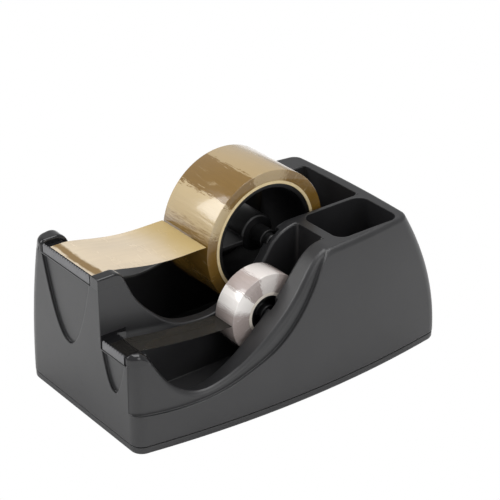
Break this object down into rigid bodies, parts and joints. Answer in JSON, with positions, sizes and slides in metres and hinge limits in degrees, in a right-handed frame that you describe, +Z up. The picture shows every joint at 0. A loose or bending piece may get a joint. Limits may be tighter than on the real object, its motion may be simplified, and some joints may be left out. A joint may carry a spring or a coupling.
{
  "type": "tape dispenser",
  "caption": "Weighted desktop tape dispenser with a wide and a narrow roll on lift-out axles, toothed cutters at the front and a pen cup at the rear.",
  "frame": {"origin": "middle of the footprint, on the table under the rubber feet", "axes": "+X to the right as seen from in front, facing the cutters; +Y from the cutters to the pen cup end; +Z up"},
  "size_m": [0.1506, 0.248, 0.1386],
  "materials": {
    "housing_plastic": "satin black moulded plastic",
    "pan_plastic": "satin black moulded plastic",
    "holder_plastic": "glossy black plastic",
    "hub_plastic": "black moulded plastic",
    "ballast_iron": "plain cast weight",
    "blade_steel": "toothed steel strip",
    "axle_steel": "plain steel pin",
    "screw_steel": "zinc plated",
    "foot_rubber": "matt black rubber",
    "core_board": "pale board ring",
    "brown_tape": "glossy brown wound film",
    "brown_film": "glossy brown single film",
    "narrow_core_plastic": "pale plastic ring",
    "clear_tape": "glossy clear wound film",
    "clear_film": "glossy clear single film"
  },
  "bodies": {
    "dispenser": {"housing": "housing_plastic", "base_pan": "pan_plastic", "ballast_block": "ballast_iron", "wide_blade_holder": "holder_plastic", "wide_cutter_blade": "blade_steel", "narrow_blade_holder": "holder_plastic", "narrow_cutter_blade": "blade_steel", "wide_tape_strip": "brown_film", "narrow_tape_strip": "clear_film", "foot_front_left": "foot_rubber", "foot_front_right": "foot_rubber", "foot_rear_left": "foot_rubber", "foot_rear_right": "foot_rubber", "base_screw_front_left": "screw_steel", "base_screw_front_right": "screw_steel", "base_screw_rear_left": "screw_steel", "base_screw_rear_right": "screw_steel"},
    "wide_axle_set": {"wide_axle": "hub_plastic", "wide_axle_collar_left": "hub_plastic", "wide_axle_collar_right": "hub_plastic"},
    "wide_roll_set": {"wide_hub": "hub_plastic", "wide_tape_core": "core_board", "wide_tape_roll": "brown_tape"},
    "narrow_axle_set": {"narrow_axle": "axle_steel"},
    "narrow_roll_set": {"narrow_hub": "hub_plastic", "narrow_tape_core": "narrow_core_plastic", "narrow_tape_roll": "clear_tape"}
  },
  "joints": [
    {"name": "wide_lift", "type": "slide", "parent": "dispenser", "child": "wide_axle_set", "axis": [0, 0, 1], "range_m": [0, 0.07]},
    {"name": "wide_spin", "type": "hinge", "parent": "wide_axle_set", "child": "wide_roll_set", "pos_m": [0, 0.0147, 0.0909], "axis": [1, 0, 0], "continuous": true},
    {"name": "narrow_lift", "type": "slide", "parent": "dispenser", "child": "narrow_axle_set", "axis": [0, 0, 1], "range_m": [0, 0.06]},
    {"name": "narrow_spin", "type": "hinge", "parent": "narrow_axle_set", "child": "narrow_roll_set", "pos_m": [0, -0.011, 0.0586], "axis": [1, 0, 0], "continuous": true}
  ]
}
